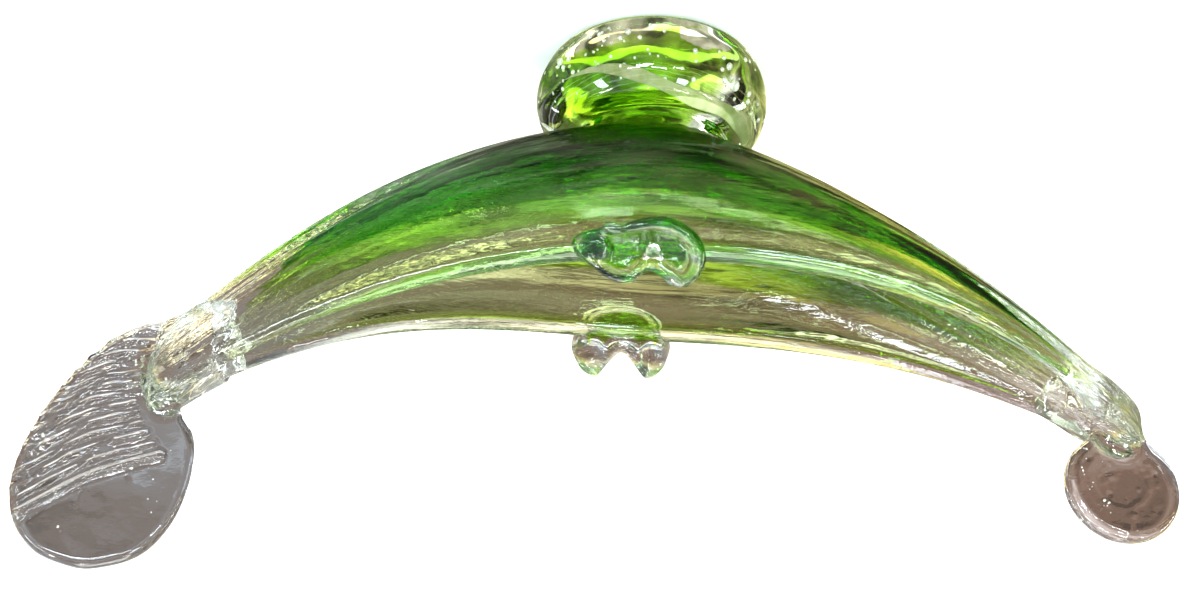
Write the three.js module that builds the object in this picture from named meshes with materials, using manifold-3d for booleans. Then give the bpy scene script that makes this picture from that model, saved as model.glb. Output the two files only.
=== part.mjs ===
// Footed, boat-shaped flower bowl in cased glass: a thick clear casing over a green lining, a clear
// barrel foot, a curled lip at the middle of each long side and a pressed clear finial on each tip.
// Millimetres, +Z up. The origin is on the table under the middle of the foot, +X points to the
// ribbed finial, and -Y is the front.
import * as THREE from 'three';
import { LoftGeometry } from 'three/addons/geometries/LoftGeometry.js';
import { mergeVertices } from 'three/addons/utils/BufferGeometryUtils.js';
import Module from 'manifold-3d';

const wasm = await Module();
wasm.setup();

// ---- Driving dimensions -------------------------------------------------------------------------

const clearance = 0.3; // between pieces that touch

const hull = {
  leftReach: 162, // from the middle of the foot to the tip of the casing
  rightReach: 161,
  halfBeam: 40, // half the width over the rims at the middle
  tipHalfWidth: 8.5,
  rimHeight: 90, // top of the rim at the middle
  tipRise: 47, // how far the rim climbs from the middle to the tips
  keelHeight: 27, // underside at the middle
  leftTipDepth: 17, // from rim to underside at the tips
  rightTipDepth: 23,
  nose: 9, // length over which a tip is rounded off
};

// How the hull's lines run from the middle to the tips. Higher powers stay flat for longer.
const lines = {
  leftFullness: 2.4,
  rightFullness: 1.5,
  rightDraw: 1.7, // draws the right half of the plan in to a point
  rimSweep: 2.7,
  leftClimb: 1.4,
  rightClimb: 2,
  keelFlat: 0.1, // share of the length over which the keel stays level
  sectionPower: 0.92, // 1 is an elliptic section, and less is a fuller one
  bluntness: 0.02, // square of the share of a section that is left at the very end
};
const casing = { wall: 4.8, base: 5.2, leftEnd: 11, rightEnd: 17 };
const lining = { wall: 1.6, base: 3.6 };
const cavity = { leftNose: 16, rightNose: 34 }; // length over which the hollow narrows to its ends

const foot = {
  cup: 6, // how far its shoulder rises round the underside of the bowl
  baseRadius: 34,
  bellyRadius: 39.5,
  shoulderRadius: 27,
};

// The curled lips: shift is from the middle towards the ribbed tip, outset and lift place the middle
// of the scoop outside and above the rim, and lean is the angle in degrees that it looks up.
const frontCurl = { halfWidth: 21, halfHeight: 12, shift: 11, outset: 4.5, lift: 2, lean: 38 };
const rearCurl = { halfWidth: 17.5, halfHeight: 14, shift: 6, outset: 0.5, lift: 1, lean: 15 };
const curlGather = { lip: 4.4, web: 3, dish: 5 };

// The finials: bite is how far the disc reaches back over the tip, and sink how far down beside it.
const ribbed = {
  halfWidth: 27,
  halfHeight: 38.5,
  bite: 4.5,
  sink: 27.5,
  ribs: 11,
  ribWidth: 2.4,
  sag: 0.06, // share of the half height
};
const plain = {
  halfWidth: 19.5,
  halfHeight: 18.5,
  tilt: -25, // degrees
  bite: 26,
  sink: 6.5,
};
const paddleGather = { lip: 8.5, web: 5.5, dish: 0 };
const plainGather = { lip: 9, web: 6, dish: 0 };
const roll = { steps: 6, depth: 0.1 }; // the rolled edge of a gather, as a share of its outline
const collar = { halfLength: 10, wall: 2.2, grip: 6 }; // grip: how far its middle is from the tip
const cutterHeadroom = 6; // how far a cutter runs on above the rim

const facets = {
  stations: 28,
  underside: 14,
  deck: 4,
  round: 28,
  outline: 30,
  rib: 4,
  ribSteps: 5,
  footSide: 12,
};

// ---- Glass colours ------------------------------------------------------------------------------

const clearGlass = new THREE.MeshStandardMaterial({ color: 0xd9ded8, roughness: 0.04, metalness: 0 });
const greenGlass = new THREE.MeshStandardMaterial({ color: 0x3c8c14, roughness: 0.04, metalness: 0 });
const footGlass = new THREE.MeshStandardMaterial({ color: 0xc9d6b4, roughness: 0.05, metalness: 0 });
const paddleGlass = new THREE.MeshStandardMaterial({ color: 0xd4d2cc, roughness: 0.06, metalness: 0 });
const curlGlass = new THREE.MeshStandardMaterial({ color: 0xc4d8b4, roughness: 0.04, metalness: 0 });

// ---- Solids and meshes --------------------------------------------------------------------------

// A closed geometry as a solid: only its places count, and its shared corners are merged.
function solidOf(geometry) {
  const bare = new THREE.BufferGeometry();
  bare.setAttribute('position', geometry.getAttribute('position').clone());
  bare.setIndex(geometry.getIndex());
  const welded = mergeVertices(bare, 1e-4);
  return new wasm.Manifold(new wasm.Mesh({
    numProp: 3,
    vertProperties: new Float32Array(welded.getAttribute('position').array),
    triVerts: new Uint32Array(welded.getIndex().array),
  }));
}

function meshOf(name, solid, material) {
  const { vertProperties, triVerts } = solid.getMesh();
  const geometry = new THREE.BufferGeometry();
  geometry.setAttribute('position', new THREE.BufferAttribute(vertProperties, 3));
  geometry.setIndex(new THREE.BufferAttribute(triVerts, 1));
  geometry.computeVertexNormals();
  const mesh = new THREE.Mesh(geometry, material);
  mesh.name = name;
  return mesh;
}

const closedLoft = (sections) => new LoftGeometry(sections, { capStart: true, capEnd: true });

// ---- Lines of the hull --------------------------------------------------------------------------

// From 0 at the middle to 1 at a tip.
const along = (x) => Math.min(Math.abs(x) / (x < 0 ? hull.leftReach : hull.rightReach), 1);

// The plan stays full towards the plain tip and draws in sooner towards the ribbed one.
function halfWidthAt(x) {
  const u = along(x);
  const fullness = x < 0
    ? 1 - u ** lines.leftFullness
    : (1 - u ** lines.rightFullness) ** lines.rightDraw;
  return hull.tipHalfWidth + (hull.halfBeam - hull.tipHalfWidth) * fullness;
}

const rimAt = (x) => hull.rimHeight + hull.tipRise * along(x) ** lines.rimSweep;

// The underside climbs almost straight towards the plain tip, and hangs lower towards the other.
function keelAt(x) {
  const tipDepth = x < 0 ? hull.leftTipDepth : hull.rightTipDepth;
  const power = x < 0 ? lines.leftClimb : lines.rightClimb;
  const level = (u) => Math.hypot(u, lines.keelFlat) ** power;
  const climb = (level(along(x)) - level(0)) / (level(1) - level(0));
  return hull.keelHeight + (hull.rimHeight + hull.tipRise - tipDepth - hull.keelHeight) * climb;
}

// What is left of a section's width near an end that is rounded off over the given length.
function closing(x, reach, nose) {
  const past = (Math.abs(x) - (reach - nose)) / nose;
  return Math.sqrt(Math.max(1 - Math.max(past, 0) ** 2, lines.bluntness));
}

// A boat-shaped body on the hull's lines, inset by wall at the sides, by base at the keel and by its
// ends at the tips. A closed nose rounds off to the middle of the tip, and an open one rises to the
// rim. A cutter runs on above the rim by headroom.
function boat({ wall, base, leftEnd, rightEnd, leftNose, rightNose, open = false, headroom = 0 }) {
  const left = hull.leftReach - leftEnd;
  const right = hull.rightReach - rightEnd;
  const sections = [];
  for (let i = 0; i <= facets.stations; i += 1) {
    const x = (right - left) / 2 - (right + left) / 2 * Math.cos(Math.PI * i / facets.stations);
    const end = x < 0 ? closing(x, left, leftNose) : closing(x, right, rightNose);
    const half = (halfWidthAt(x) - wall) * end;
    const rim = rimAt(x);
    const keel = keelAt(x) + base;
    const middle = open ? rim : (rim + keel) / 2;
    const top = middle + (rim - middle) * end;
    const bottom = middle + (keel - middle) * end;
    const points = [];
    for (let k = 0; k <= facets.underside; k += 1) {
      const angle = Math.PI * k / facets.underside;
      const depth = Math.sin(angle) ** lines.sectionPower;
      points.push(new THREE.Vector3(x, -half * Math.cos(angle), top + (bottom - top) * depth));
    }
    const inset = headroom > 0 ? 0 : 1;
    for (let k = inset; k <= facets.deck - inset; k += 1) {
      points.push(new THREE.Vector3(x, half * (1 - 2 * k / facets.deck), top + headroom));
    }
    sections.push(points);
  }
  return solidOf(closedLoft(sections));
}

const outside = {
  wall: 0,
  base: 0,
  leftEnd: 0,
  rightEnd: 0,
  leftNose: hull.nose,
  rightNose: hull.nose,
};

// The same body drawn in by the given walls, for one that nests inside it.
function nested(body, by) {
  return {
    ...body,
    wall: body.wall + by.wall,
    base: body.base + by.base,
    leftEnd: body.leftEnd + by.leftEnd,
    rightEnd: body.rightEnd + by.rightEnd,
  };
}
const evenly = (gap) => ({ wall: gap, base: gap, leftEnd: gap, rightEnd: gap });

const pocket = { ...nested(outside, casing), ...cavity, open: true };
const liningSkin = nested(pocket, evenly(clearance));
const hollow = nested(liningSkin, { ...evenly(lining.wall), base: lining.base });
const asCutter = (body) => boat({ ...body, headroom: cutterHeadroom });

// What the other pieces are cut by: the whole bowl grown by the clearance, and only its wall, which
// leaves what reaches over the rim into the hollow.
const bowlCutter = boat({ ...nested(outside, evenly(-clearance)), headroom: clearance });
const wallCutter = bowlCutter.subtract(asCutter(nested(hollow, evenly(clearance))));

// ---- Pressed and curled gathers -----------------------------------------------------------------

// A disc of glass with a rolled edge, built on an outline: thinner inside the edge, and dished by the
// given depth. It faces -Y until it is turned and moved by the matrix.
function gatheredDisc(outline, { lip, web, dish }, matrix) {
  const ring = (scale, forward) => outline.map(([across, up]) => {
    const place = new THREE.Vector3(across * scale, -forward, up * scale);
    return place.applyMatrix4(matrix);
  });
  const sections = [];
  const inner = [0.15, 0.35, 0.6, 0.8];
  const crown = (scale) => 1 + 0.1 * (1 - scale);
  const sunk = (scale) => dish * (1 - Math.max(scale, inner[1]) ** 2);
  const face = (scale, side) => side * web / 2 * crown(scale) - sunk(scale);
  inner.forEach((scale) => sections.push(ring(scale, face(scale, -1))));
  for (let k = 0; k <= roll.steps; k += 1) {
    const angle = Math.PI * k / roll.steps;
    const scale = 1 - (1 - Math.sin(angle)) * roll.depth;
    sections.push(ring(scale, -lip / 2 * Math.cos(angle)));
  }
  inner.reverse().forEach((scale) => sections.push(ring(scale, face(scale, 1))));
  return solidOf(closedLoft(sections));
}

// A smooth closed outline through a few chosen points.
function smoothOutline(corners) {
  const count = facets.outline;
  const places = corners.map(([x, z]) => new THREE.Vector3(x, 0, z));
  const curve = new THREE.CatmullRomCurve3(places, true);
  return curve.getSpacedPoints(count).slice(0, count).map((p) => [p.x, p.z]);
}

// Turns a disc that faces -Y by the given degrees, looking up by the lean, and moves it to a place.
function facing(x, y, z, lean = 0, turn = 0) {
  const [tip, spin] = [-lean, turn].map(THREE.MathUtils.degToRad);
  const turned = new THREE.Euler(tip, 0, spin, 'ZXY');
  return new THREE.Matrix4().makeRotationFromEuler(turned).setPosition(x, y, z);
}

// Heart-shaped scoop with a notch in its upper edge, on the front (-1) or the rear (1) rim.
function lipCurl(side, curl) {
  const w = curl.halfWidth;
  const h = curl.halfHeight;
  const heart = smoothOutline([
    [0, 0.35 * h], [-0.4 * w, 0.95 * h], [-0.85 * w, 0.6 * h], [-w, -0.1 * h], [-0.6 * w, -0.8 * h],
    [0, -h], [0.6 * w, -0.75 * h], [w, -0.15 * h], [0.75 * w, 0.55 * h], [0.4 * w, 0.95 * h],
  ]);
  const y = side * (halfWidthAt(curl.shift) + curl.outset);
  const turn = side < 0 ? 0 : 180;
  const matrix = facing(curl.shift, y, rimAt(curl.shift) + curl.lift, curl.lean, turn);
  return gatheredDisc(heart, curlGather, matrix).subtract(wallCutter);
}

// ---- Finials ------------------------------------------------------------------------------------

// A band of glass round a tip, which the casing plugs into.
function tipCollar(side) {
  const reach = side < 0 ? hull.leftReach : hull.rightReach;
  const x = side * (reach - collar.grip);
  const band = new THREE.SphereGeometry(1, facets.round, facets.round / 2);
  band.scale(
    collar.halfLength,
    halfWidthAt(x) + collar.wall,
    (rimAt(x) - keelAt(x)) / 2 + collar.wall,
  );
  band.translate(x, 0, (rimAt(x) + keelAt(x)) / 2);
  return solidOf(band);
}

function ribbedFinial() {
  const w = ribbed.halfWidth;
  const h = ribbed.halfHeight;
  const outline = smoothOutline([
    [0.05 * w, h], [-0.6 * w, 0.8 * h], [-w, 0.25 * h], [-0.9 * w, -0.25 * h], [-0.62 * w, -0.62 * h],
    [-0.7 * w, -0.95 * h], [-0.3 * w, -h], [0.3 * w, -0.75 * h], [0.75 * w, -0.25 * h],
    [0.97 * w, 0.35 * h], [0.7 * w, 0.83 * h],
  ]);
  const tip = hull.rightReach;
  const neck = 0.62 * w; // from the paddle's middle to its narrowest place
  const matrix = facing(tip + neck - ribbed.bite, 0, rimAt(tip) + h - ribbed.sink);
  let finial = gatheredDisc(outline, paddleGather, matrix);
  for (let i = 0; i < ribbed.ribs; i += 1) {
    finial = finial.add(rib(i / (ribbed.ribs - 1), matrix));
  }
  return finial.add(tipCollar(1)).subtract(bowlCutter);
}

// One rib of the paddle's face, from its inner edge at the tip to its outer edge. The first, at 0, is
// the uppermost, and the rest fan down, sagging a little in the middle. The inner ends follow the
// bulge of the tip's collar, and the outer ends follow the paddle's outline.
function rib(order, matrix) {
  const w = ribbed.halfWidth;
  const h = ribbed.halfHeight;
  const start = [w * (-0.62 + 0.35 * Math.sin(Math.PI * order)), h * (0.12 - 0.98 * order)];
  const end = [w * (0.86 - 0.75 * order ** 2), h * (0.6 - 1.4 * order)];
  const sag = [(start[0] + end[0]) / 2, (start[1] + end[1]) / 2 - ribbed.sag * h];
  const places = [start, sag, end].map(([x, z]) => new THREE.Vector3(x, -paddleGather.web / 2, z));
  const path = new THREE.CatmullRomCurve3(places);
  const round = new THREE.Shape();
  round.absarc(0, 0, ribbed.ribWidth / 2, 0, 2 * Math.PI);
  const bar = new THREE.ExtrudeGeometry(round, {
    steps: facets.ribSteps,
    curveSegments: facets.rib,
    bevelEnabled: false,
    extrudePath: path,
  });
  return solidOf(bar.applyMatrix4(matrix));
}

function plainFinial() {
  const outline = [];
  const tilt = THREE.MathUtils.degToRad(plain.tilt);
  for (let k = 0; k < facets.outline; k += 1) {
    const angle = 2 * Math.PI * k / facets.outline;
    const across = plain.halfWidth * Math.cos(angle);
    const up = plain.halfHeight * Math.sin(angle);
    outline.push([
      across * Math.cos(tilt) - up * Math.sin(tilt),
      across * Math.sin(tilt) + up * Math.cos(tilt),
    ]);
  }
  const tip = -hull.leftReach;
  const x = tip - plain.halfWidth + plain.bite;
  const matrix = facing(x, 0, rimAt(tip) + plain.halfHeight - plain.sink);
  return gatheredDisc(outline, plainGather, matrix).add(tipCollar(-1)).subtract(bowlCutter);
}

// ---- Foot ---------------------------------------------------------------------------------------

// A barrel of glass, flat underneath, with a rounded shoulder that the bowl's underside sinks into.
function barrelFoot() {
  const height = hull.keelHeight + foot.cup;
  const side = new THREE.SplineCurve([
    new THREE.Vector2(foot.baseRadius, 0),
    new THREE.Vector2(foot.bellyRadius * 0.97, height * 0.14),
    new THREE.Vector2(foot.bellyRadius, height * 0.42),
    new THREE.Vector2(foot.bellyRadius * 0.94, height * 0.75),
    new THREE.Vector2(foot.shoulderRadius, height),
  ]);
  const onAxis = (z) => new THREE.Vector2(0, z);
  const profile = [onAxis(0), ...side.getPoints(facets.footSide), onAxis(height)];
  const barrel = new THREE.LatheGeometry(profile, facets.round).rotateX(Math.PI / 2);
  return solidOf(barrel).subtract(bowlCutter);
}

// ---- Assembly -----------------------------------------------------------------------------------

const bowl = new THREE.Group();
bowl.add(
  meshOf('clear_casing', boat(outside).subtract(asCutter(pocket)), clearGlass),
  meshOf('green_lining', boat(liningSkin).subtract(asCutter(hollow)), greenGlass),
  meshOf('foot', barrelFoot(), footGlass),
  meshOf('ribbed_finial', ribbedFinial(), paddleGlass),
  meshOf('plain_finial', plainFinial(), paddleGlass),
  meshOf('front_lip_curl', lipCurl(-1, frontCurl), curlGlass),
  meshOf('rear_lip_curl', lipCurl(1, rearCurl), curlGlass),
);

export default bowl;
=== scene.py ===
import itertools
import math

import bmesh
import bpy
import numpy as np
from mathutils import Euler, Matrix, Vector

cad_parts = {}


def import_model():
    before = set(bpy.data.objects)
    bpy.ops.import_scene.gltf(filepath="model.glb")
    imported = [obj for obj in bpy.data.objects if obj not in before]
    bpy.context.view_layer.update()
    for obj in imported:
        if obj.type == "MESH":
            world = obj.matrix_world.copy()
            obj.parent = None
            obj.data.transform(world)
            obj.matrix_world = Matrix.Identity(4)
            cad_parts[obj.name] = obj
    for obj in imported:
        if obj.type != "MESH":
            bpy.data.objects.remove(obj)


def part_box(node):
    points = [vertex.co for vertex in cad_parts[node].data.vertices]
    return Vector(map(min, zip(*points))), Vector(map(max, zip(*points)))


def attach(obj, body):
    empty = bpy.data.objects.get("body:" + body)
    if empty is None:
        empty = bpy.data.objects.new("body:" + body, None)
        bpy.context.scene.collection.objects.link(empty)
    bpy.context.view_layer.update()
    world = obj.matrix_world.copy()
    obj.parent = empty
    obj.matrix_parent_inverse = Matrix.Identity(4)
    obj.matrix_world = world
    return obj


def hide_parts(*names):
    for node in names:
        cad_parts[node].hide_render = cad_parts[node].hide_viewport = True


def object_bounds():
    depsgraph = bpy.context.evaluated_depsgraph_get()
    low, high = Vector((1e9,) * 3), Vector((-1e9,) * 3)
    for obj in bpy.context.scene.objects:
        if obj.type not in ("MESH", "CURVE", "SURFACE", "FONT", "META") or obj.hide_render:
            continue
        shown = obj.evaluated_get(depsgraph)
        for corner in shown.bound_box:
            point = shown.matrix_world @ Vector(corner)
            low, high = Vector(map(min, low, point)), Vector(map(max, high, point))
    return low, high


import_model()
cad_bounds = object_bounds()

MM = 0.001


def corners(node):
    """Lowest and highest corner of a CAD node, in millimetres."""
    low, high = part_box(node)
    return np.array(low) / MM, np.array(high) / MM


# ---- Lines of the hull, as the CAD model has them ----------------------------------------------------

casing_low, casing_high = corners("clear_casing")
_, foot_high = corners("foot")
LEFT_REACH = -casing_low[0]
RIGHT_REACH = casing_high[0]
HALF_BEAM = casing_high[1]
KEEL_HEIGHT = casing_low[2]
RIM_HEIGHT = 90
TIP_RISE = 47
TIP_HALF_WIDTH = 8.5
LEFT_TIP_DEPTH = 17  # from the rim to the underside
RIGHT_TIP_DEPTH = 23
NOSE = 9  # length over which a tip is rounded off
SIDE_WALL = 7  # the casing and the lining together
BASE_WALL = 9.4
LEFT_END = 13.2  # from the tip to the end of the hollow
RIGHT_END = 19.2
LEFT_HOLLOW_NOSE = 16  # length over which the hollow narrows to its end
RIGHT_HOLLOW_NOSE = 34
SECTION_POWER = 0.92  # 1 is an elliptic section, and less is a fuller one
RIM_ROUND = 3.6  # height of the fire-polished round on the rim
RIM_THICKENING = 4.0  # how much thicker the wall is at the rim than under it
WAIST = 2.3  # how far the outside draws in under the rolled rim
WAIST_DEPTH = 0.30  # where, as a share of the way down to the keel


def along(x):
    """How far places are from the middle to a tip, from 0 to 1."""
    return np.minimum(np.abs(x) / np.where(x < 0, LEFT_REACH, RIGHT_REACH), 1)


def half_width_at(x):
    u = along(x)
    fullness = np.where(x < 0, 1 - u ** 2.4, (1 - u ** 1.5) ** 1.7)
    return TIP_HALF_WIDTH + (HALF_BEAM - TIP_HALF_WIDTH) * fullness


def rim_at(x):
    return RIM_HEIGHT + TIP_RISE * along(x) ** 2.7


def keel_at(x):
    power = np.where(x < 0, 1.4, 2.0)
    tip_depth = np.where(x < 0, LEFT_TIP_DEPTH, RIGHT_TIP_DEPTH)
    flat, end, here = (np.hypot(u, 0.1) ** power for u in (0, 1, along(x)))
    rise = RIM_HEIGHT + TIP_RISE - tip_depth - KEEL_HEIGHT
    return KEEL_HEIGHT + rise * (here - flat) / (end - flat)


def closing(x, left, right, left_nose, right_nose):
    """What is left of a section near an end that is rounded off, as a share of its size."""
    reach = np.where(x < 0, left, right)
    nose = np.where(x < 0, left_nose, right_nose)
    past = np.clip((np.abs(x) - (reach - nose)) / nose, 0, 1)
    return np.sqrt(1 - past ** 2)


def smoothstep(low, high, value):
    t = np.clip((value - low) / (high - low), 0, 1)
    return t * t * (3 - 2 * t)


def outer_section(x, end):
    """Half width, top and bottom of the hull's outside at each x, with what the ends leave of them."""
    rim, keel = rim_at(x), keel_at(x)
    middle = (rim + keel) / 2
    return half_width_at(x) * end, middle + (rim - middle) * end, middle + (keel - middle) * end


def hollow_section(x):
    """Half width, rim and floor of the hollow at each x; both ends close up at the rim."""
    end = closing(x, LEFT_REACH - LEFT_END, RIGHT_REACH - RIGHT_END, LEFT_HOLLOW_NOSE, RIGHT_HOLLOW_NOSE)
    half = np.maximum(half_width_at(x) - SIDE_WALL, 0) * end
    rim = rim_at(x)
    return half, rim, rim + (keel_at(x) + BASE_WALL - rim) * end


def stations(low, high, count, dense_at):
    """Places from low to high, closer together round the given ones."""
    fine = np.linspace(low, high, 4000)
    density = 1 + sum(6 * np.exp(-((fine - place) / 5) ** 2) for place in dense_at)
    run = np.cumsum(density)
    return np.interp(np.linspace(run[0], run[-1], count), run, fine)


# ---- Meshes ------------------------------------------------------------------------------------------


def piece(name, points, faces, material, slot, *replaced):
    """A smooth-shaded piece on the one body, from points in millimetres."""
    mesh = bpy.data.meshes.new(name)
    mesh.from_pydata((np.asarray(points) * MM).tolist(), [], [list(map(int, f)) for f in faces])
    mesh.validate()
    mesh.update()
    mesh.shade_smooth()
    mesh.materials.append(material)
    made = bpy.data.objects.new(name, mesh)
    bpy.context.scene.collection.objects.link(made)
    weld(made)
    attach(made, "root")
    if replaced:
        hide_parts(*replaced)
    return made


def weld(made):
    """Merges points that coincide and turns every face out."""
    shape = bmesh.new()
    shape.from_mesh(made.data)
    bmesh.ops.remove_doubles(shape, verts=shape.verts, dist=1e-6)
    bmesh.ops.dissolve_degenerate(shape, edges=shape.edges, dist=1e-7)
    bmesh.ops.recalc_face_normals(shape, faces=shape.faces)
    shape.to_mesh(made.data)
    shape.free()


def ring_faces(rings, count):
    """Quads between rings of points, given ring after ring, with a count of points in each."""
    faces = []
    for i in range(rings - 1):
        here, there = i * count, (i + 1) * count
        for k in range(count):
            after = (k + 1) % count
            faces.append((here + k, here + after, there + after, there + k))
    return faces


def field_mesh(field, low, high, step):
    """Quads on the surface where a field of signed distances is zero, by surface nets. Each point is
    then drawn onto the surface along the field's slope."""
    axes = [np.arange(a, b + step, step) for a, b in zip(low, high)]
    grid = np.stack(np.meshgrid(*axes, indexing="ij"), axis=-1)
    values = field(grid.reshape(-1, 3)).reshape(grid.shape[:3])
    inside = values < 0
    cells = [n - 1 for n in inside.shape]
    total = np.zeros(cells, int)
    for offset in itertools.product((0, 1), repeat=3):
        total += inside[tuple(slice(o, o + n) for o, n in zip(offset, cells))]
    crossed = (total > 0) & (total < 8)
    number = np.full(cells, -1)
    number[crossed] = np.arange(crossed.sum())
    points = grid[:-1, :-1, :-1][crossed] + step / 2
    faces = []
    for axis in range(3):
        b, c = (axis + 1) % 3, (axis + 2) % 3
        size = list(inside.shape)

        def part(first_shift, b_shift, c_shift, of):
            cut = [None] * 3
            cut[axis] = slice(first_shift, size[axis] - 1 + first_shift)
            cut[b] = slice(1 + b_shift, size[b] - 1 + b_shift)
            cut[c] = slice(1 + c_shift, size[c] - 1 + c_shift)
            return of[tuple(cut)]

        here, there = part(0, 0, 0, inside), part(1, 0, 0, inside)
        for leaving, turn in ((here & ~there, 1), (~here & there, -1)):
            ring = [part(0, 0, 0, number), part(0, -1, 0, number), part(0, -1, -1, number),
                    part(0, 0, -1, number)]
            faces.append(np.stack([r[leaving] for r in ring[::turn]], axis=-1))
    faces = np.concatenate(faces)
    for _ in range(3):
        points = drawn_to_surface(field, relaxed(points, faces), step)
    return drawn_to_surface(field, points, step), faces


def relaxed(points, faces):
    """Each point halfway to the mean of its neighbours."""
    total = np.zeros_like(points)
    count = np.zeros(len(points))
    for k in range(4):
        for other in (faces[:, (k + 1) % 4], faces[:, k - 1]):
            np.add.at(total, faces[:, k], points[other])
            np.add.at(count, faces[:, k], 1)
    return points * 0.5 + total / count[:, None] * 0.5


def drawn_to_surface(field, points, step):
    """Each point moved along the field's slope to where the field is zero."""
    nudge = step * 0.05
    for _ in range(2):
        value = field(points)
        slope = [(field(points + nudge * axis) - value) / nudge for axis in np.eye(3)]
        slope = np.stack(slope, axis=-1)
        length = np.maximum((slope ** 2).sum(1), 0.05)
        move = -(value / length)[:, None] * slope
        far = np.linalg.norm(move, axis=1)
        points = points + move * np.minimum(1, step / np.maximum(far, 1e-9))[:, None]
    return points


# Fields: the signed distance from points to a shape, negative inside it.


def tube(points, path, radii):
    """A round bar along a path, with a radius at each of its places."""
    nearest = np.full(len(points), 1e9)
    for a, b, ra, rb in zip(path[:-1], path[1:], radii[:-1], radii[1:]):
        run = b - a
        share = np.clip((points - a) @ run / (run @ run), 0, 1)
        away = np.linalg.norm(points - a - share[:, None] * run, axis=1)
        nearest = np.minimum(nearest, away - ra - share * (rb - ra))
    return nearest


def ball(points, centre, radii):
    """An ellipsoid."""
    scaled = (points - centre) / radii
    k0 = np.linalg.norm(scaled, axis=1)
    k1 = np.linalg.norm(scaled / radii, axis=1)
    return k0 * (k0 - 1) / np.maximum(k1, 1e-6)


def fused(a, b, width):
    """Both shapes, joined by a fillet."""
    share = np.clip(0.5 + 0.5 * (b - a) / width, 0, 1)
    return b + (a - b) * share - width * share * (1 - share)


def carved(a, b, width):
    """The first shape without the second, with the edge rounded."""
    return -fused(-a, b, width)


def hull_depth(points):
    """Roughly how far points are inside (negative) or outside the hull's outer surface, from its
    sections."""
    x, y, z = points.T
    inside_x = np.clip(x, -LEFT_REACH, RIGHT_REACH)
    end = np.maximum(closing(inside_x, LEFT_REACH, RIGHT_REACH, NOSE, NOSE), 0.02)
    half, top, bottom = outer_section(inside_x, end)
    across = y / half
    down = np.clip((top - z) / (top - bottom), 0, None) ** (1 / SECTION_POWER)
    radius = np.hypot(across, down)
    skin = (radius - 1) * np.maximum(np.minimum(half, top - bottom), 8)
    return np.maximum(np.maximum(skin, z - top), np.abs(x - inside_x) - 0.001)


def curve_through(places, count, closed=False):
    """Points on a smooth curve through a few chosen places, as many between each two of them."""
    places = np.asarray(places, float)
    if closed:
        knots = np.concatenate([places[-1:], places, places[:2]])
    else:
        knots = np.concatenate([2 * places[:1] - places[1:2], places, 2 * places[-1:] - places[-2:-1]])
    spans = len(knots) - 3
    u = np.linspace(0, spans, count, endpoint=not closed)
    i = np.minimum(u.astype(int), spans - 1)
    t = (u - i)[:, None]
    p0, p1, p2, p3 = (knots[i + k] for k in range(4))
    return 0.5 * (2 * p1 + (p2 - p0) * t + (2 * p0 - 5 * p1 + 4 * p2 - p3) * t ** 2
                  + (3 * p1 - p0 - 3 * p2 + p3) * t ** 3)


# ---- Materials ---------------------------------------------------------------------------------------


def new_material(name):
    """A material with one Principled shader on its surface."""
    material = bpy.data.materials.new(name)
    material.use_nodes = True
    tree = material.node_tree
    tree.nodes.clear()
    output = tree.nodes.new("ShaderNodeOutputMaterial")
    shader = tree.nodes.new("ShaderNodeBsdfPrincipled")
    tree.links.new(shader.outputs["BSDF"], output.inputs["Surface"])
    return material, tree, shader, output


def feed(tree, socket, value):
    """Links a socket to another node's output, or sets it."""
    if isinstance(value, bpy.types.NodeSocket):
        tree.links.new(value, socket)
    else:
        socket.default_value = value


def add_node(tree, kind, settings=None, **inputs):
    """A node with its settings, and with its sockets fed by name."""
    made = tree.nodes.new(kind)
    for key, value in (settings or {}).items():
        setattr(made, key, value)
    for key, value in inputs.items():
        feed(tree, made.inputs[key.replace("_", " ")], value)
    return made


def noise(tree, place, scale, detail, roughness=0.5):
    made = add_node(tree, "ShaderNodeTexNoise", Vector=place, Scale=scale, Detail=detail,
                    Roughness=roughness)
    return made.outputs["Fac"]


def remap(tree, value, low, high, to_low, to_high):
    """The range from low to high, stretched to another and held at its ends."""
    made = add_node(tree, "ShaderNodeMapRange", Value=value, From_Min=low, From_Max=high,
                    To_Min=to_low, To_Max=to_high)
    return made.outputs["Result"]


def ramp(tree, factor, *stops):
    """Colours along a factor; each stop is a place from 0 to 1 and its colour."""
    made = add_node(tree, "ShaderNodeValToRGB", Fac=factor)
    tones = made.color_ramp.elements
    for place, _ in stops[1:-1]:
        tones.new(place)
    for tone, (place, colour) in zip(tones, stops):
        tone.position = place
        tone.color = (*colour, 1)
    return made.outputs["Color"]


def vector_math(tree, operation, *vectors, **sockets):
    """The result of an operation on vectors, given in order, and on sockets given by name."""
    made = add_node(tree, "ShaderNodeVectorMath", {"operation": operation}, **sockets)
    for socket, vector in zip(made.inputs, vectors):
        feed(tree, socket, vector)
    return made.outputs["Value" if operation == "LENGTH" else "Vector"]


def mixed(tree, share, first, second):
    """A colour between two others, by a share from 0 to 1."""
    made = add_node(tree, "ShaderNodeMix", {"data_type": "RGBA"})
    # The node's first colours come after its sockets for numbers and vectors.
    for index, value in ((0, share), (6, first), (7, second)):
        feed(tree, made.inputs[index], value)
    return made.outputs[2]


def absorb(tree, output, colour, density):
    """Takes the colour's opposite out of light, by how far it goes through the glass."""
    volume = add_node(tree, "ShaderNodeVolumeAbsorption", Color=(*colour, 1), Density=density)
    tree.links.new(volume.outputs["Volume"], output.inputs["Volume"])


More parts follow.
